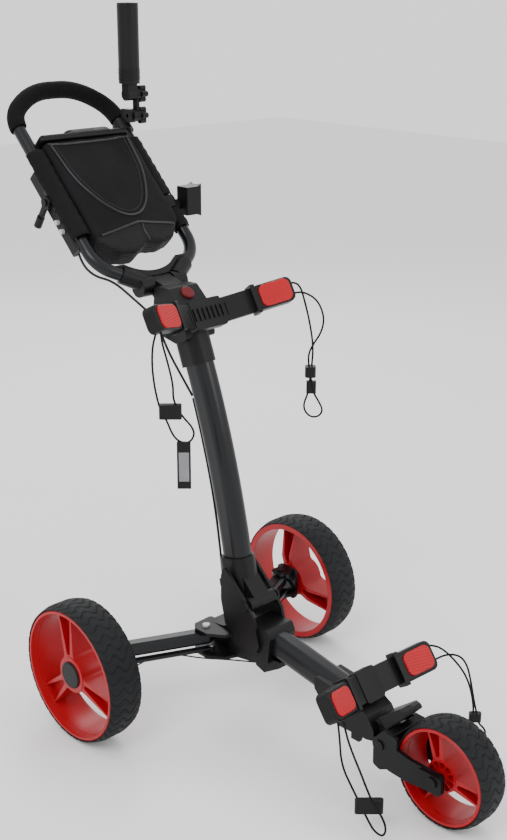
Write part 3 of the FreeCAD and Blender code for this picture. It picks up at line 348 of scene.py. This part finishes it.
on_pouch("flap_piping", arc_points(((272, -94), (272, 96)), 190), 0.0055, PIPING)
on_pouch("flap_seam", arc_points(((272, -85), (272, 87)), 179), 0.0014, THREAD)
on_pouch("top_piping", arc_points(((276, -100), (276, 100)), 6), 0.005, PIPING)
on_pouch("net_binding", [(BINDING_TOP - NET_SLOPE * abs(y), y) for y in range(-96, 97, 8)], 0.006,
         PIPING)
on_pouch("net_binding_middle", [(a, 8 + 2 * sin(a / 9)) for a in range(22, 60, 6)], 0.0045, PIPING)


def sleeve(name, y, start, end, radius, opens, sweep):
    """Fabric sleeve round one arm, open over the angles away from the pouch."""
    points, faces, rows = [], [], 25
    steps = 30
    for i in range(steps + 1):
        along = start + (end - start) * i / steps
        for k in range(rows):
            angle = opens + sweep * (k / (rows - 1) - 0.5)
            crease = noise.noise(Vector((along * 0.05, angle * 2, y)))
            r = radius + 0.7 * sin(along * 0.31 + 2 * angle) + 0.5 * crease
            points.append(on_handle(along, r * sin(angle), y + r * cos(angle)))
    for i in range(steps):
        for k in range(rows - 1):
            a = i * rows + k
            faces.append((a, a + 1, a + rows + 1, a + rows))
    piece = mesh_piece(name, points, faces, LOOKS["pouch_fabric"], "pouch_fabric")
    thick = piece.modifiers.new("thick", "SOLIDIFY")
    thick.thickness = 0.0018
    piece = to_mesh(piece)
    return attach(piece, "handle")


sleeve("sleeve_left_low", ARM_Y, 50, 94, 15.8, pi, radians(330))
sleeve("sleeve_left_high", ARM_Y, 128, 278, 16.6, pi, radians(330))
tray = soft_copy("console_tray", "rounded_tray", 0.003, 9)
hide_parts("console_tray")
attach(tray, "handle")
sleeve("sleeve_right", -ARM_Y, 62, 268, 20.6, radians(52), radians(236))


# ---- bag cords and cables -----------------------------------------------------------------------
CORDS = {
    "upper_cord_right": [
        (80, -160, 822), (78, -171, 800), (75, -174, 761), (76, -171, 714), (82, -165, 671),
        (87, -160, 656), (92, -154, 640), (98, -148, 617), (105, -140, 603), (116, -129, 598),
        (123, -121, 605), (127, -118, 619), (122, -122, 633), (112, -133, 650), (105, -141, 668),
        (100, -146, 686), (100, -145, 712), (94, -153, 758), (86, -160.5, 799),
        (85.65, -159.6, 812.3)],
    "upper_cord_left": [
        (75, 175.8, 847.2), (80.5, 189, 848.5), (90, 196, 838), (98, 198, 815), (106, 206, 771),
        (112, 212, 720), (110, 211, 678), (107.5, 208.5, 649), (105.5, 206.5, 620),
        (99, 200, 597), (101, 202, 580), (111, 211, 568), (123, 221, 571), (129, 226, 584),
        (125, 219, 602), (116.5, 209, 624), (114.5, 205.5, 649), (110.5, 201.5, 678),
        (109.5, 200.5, 704), (115, 208, 724), (125, 219, 746), (129, 224, 772), (125, 221, 796),
        (115, 214, 816), (101, 200, 828), (91, 187.5, 830.5), (85.9, 175.8, 828.1)],
    "lower_cord_right": [
        (508, -124, 184), (516, -129, 174), (521, -130, 146), (524, -130, 118), (534, -131, 95),
        (550, -132, 77), (566, -134, 62), (581, -136, 48), (596, -137, 32), (614, -139, 17),
        (636, -141, 18), (644, -142, 36), (636, -141, 54), (606, -138, 74), (592, -137, 92),
        (577, -135, 112), (562, -134, 132), (546, -132, 153), (535, -131, 174), (526, -128, 192)],
    "lower_cord_left": [
        (476, 140, 218), (490, 160, 218), (506, 177, 207), (527, 201, 171), (539, 215, 138),
        (546, 223, 98), (548, 225, 73), (548.5, 225, 50), (541, 219, 36), (540, 218, 22),
        (548, 224, 9), (562, 232, 9), (571, 238, 21), (570, 236, 36), (559.5, 226, 50),
        (558, 222, 73), (553, 218, 98), (545, 212, 148), (538, 208, 176), (528, 199, 194),
        (514, 185, 198), (502, 166, 194), (500, 142, 190)],
}

for name, route in CORDS.items():
    places = [at(*p) for p in route]
    piece = line_piece(name + "_elastic", places, 0.004, LOOKS["cord_cover"], "cord_cover")
    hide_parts(name)
    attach(piece, "upright" if name.startswith("upper") else "frame")

CABLE_HANDLE = [(-189.5, -134.5, 908.3), (-174, -139, 891), (-154, -126, 869), (-131, -98, 859),
                (-94, -76, 825), (-60, -55, 792), (-52, -46, 759), (-37, -36, 716), (-13, -20, 664),
                (-0.3, -12, 637)]
CABLE_LEG = [(199, -21, 129), (150, -52, 127), (110, -88, 127), (66, -113, 127), (44, -133, 127.5),
             (38, -165, 128.5), (43, -205, 128), (44, -228, 131), (28.5, -252.8, 138)]
for name, route, diameter, still, moving, ends in (
        ("brake_cable_handle", CABLE_HANDLE, 0.005, "upright", "handle", (5, 2)),
        ("leg_cable", CABLE_LEG, 0.003, "frame", "leg_right", (1, 6))):
    places = [at(*p) for p in route]
    piece = to_mesh(line_piece(name + "_sheath", places, diameter, LOOKS["cable_sheath"],
                               "cable_sheath"))
    shade_smooth(piece)
    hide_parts(name)
    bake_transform(piece)


# ---- small pieces -------------------------------------------------------------------------------
def panel(name, centre, across, up, wide, tall, thick, look, slot, body):
    """A thin plate with softened edges."""
    out = across.cross(up).normalized()
    corners = []
    for d in (-thick / 2, thick / 2):
        for a, u in ((-1, -1), (1, -1), (1, 1), (-1, 1)):
            corners.append(centre + across * (a * wide / 2) + up * (u * tall / 2) + out * d)
    faces = [(3, 2, 1, 0), (4, 5, 6, 7), (0, 1, 5, 4), (1, 2, 6, 5), (2, 3, 7, 6), (3, 0, 4, 7)]
    piece = mesh_piece(name, corners, faces, look, slot, smooth=False)
    edge = piece.modifiers.new("edge", "BEVEL")
    edge.width = min(wide, tall, thick) * 0.3
    edge.segments = 2
    piece = to_mesh(piece)
    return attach(piece, body)


turn = radians(47)
tab_across = Vector((cos(turn), sin(turn), 0))
tab_front = at(113, -133, 552) + Vector((sin(turn), -cos(turn), 0)) * 0.0021
panel("plain_patch", tab_front, tab_across, Vector((0, 0, 1)), 0.019, 0.058, 0.0008, LABEL,
      "cord_cover", "upright")


# ---- floor, light and camera --------------------------------------------------------------------
FLOOR_PAINT = material("floor_paint", (0.86, 0.86, 0.86), 0.75, 0.01, 2, 60, 0.01)
floor = mesh_piece("floor", [(-8, -8, 0), (8, -8, 0), (8, 8, 0), (-8, 8, 0)], [(0, 1, 2, 3)],
                   FLOOR_PAINT, "black_plastic")

world = bpy.data.worlds.new("studio")
world.use_nodes = True
world.node_tree.nodes["Background"].inputs["Color"].default_value = (1.0, 1.0, 1.0, 1)
world.node_tree.nodes["Background"].inputs["Strength"].default_value = 1.35
bpy.context.scene.world = world


def softbox(name, place, target, size, power):
    """A square area light that faces the target."""
    light = bpy.data.lights.new(name, "AREA")
    light.shape = "SQUARE"
    light.size = size
    light.energy = power
    lamp = bpy.data.objects.new(name, light)
    bpy.context.scene.collection.objects.link(lamp)
    lamp.location = place
    lamp.rotation_euler = (Vector(target) - Vector(place)).to_track_quat("-Z", "Y").to_euler()


softbox("key", (0.9, -2.6, 3.2), (0, 0, 0.6), 1.6, 60)
softbox("side", (2.8, 1.2, 2.2), (0, 0, 0.6), 1.4, 30)
softbox("back", (-2.4, 1.6, 2.6), (0, 0, 0.8), 1.6, 40)

CAMERA_PLACE = (1.8225 + REAR_AXLE_X, -1.5863, 1.4278)
CAMERA_AZIMUTH, CAMERA_TILT, CAMERA_ROLL = radians(46.32), radians(70.74), radians(0.23)
camera = bpy.data.cameras.new("camera")
camera.sensor_width = 36.0
camera.lens = 55.07
viewer = bpy.data.objects.new("camera", camera)
bpy.context.scene.collection.objects.link(viewer)
viewer.matrix_world = (Matrix.Translation(CAMERA_PLACE) @ Matrix.Rotation(CAMERA_AZIMUTH, 4, "Z")
                       @ Matrix.Rotation(CAMERA_TILT, 4, "X") @ Matrix.Rotation(CAMERA_ROLL, 4, "Z"))
bpy.context.scene.camera = viewer
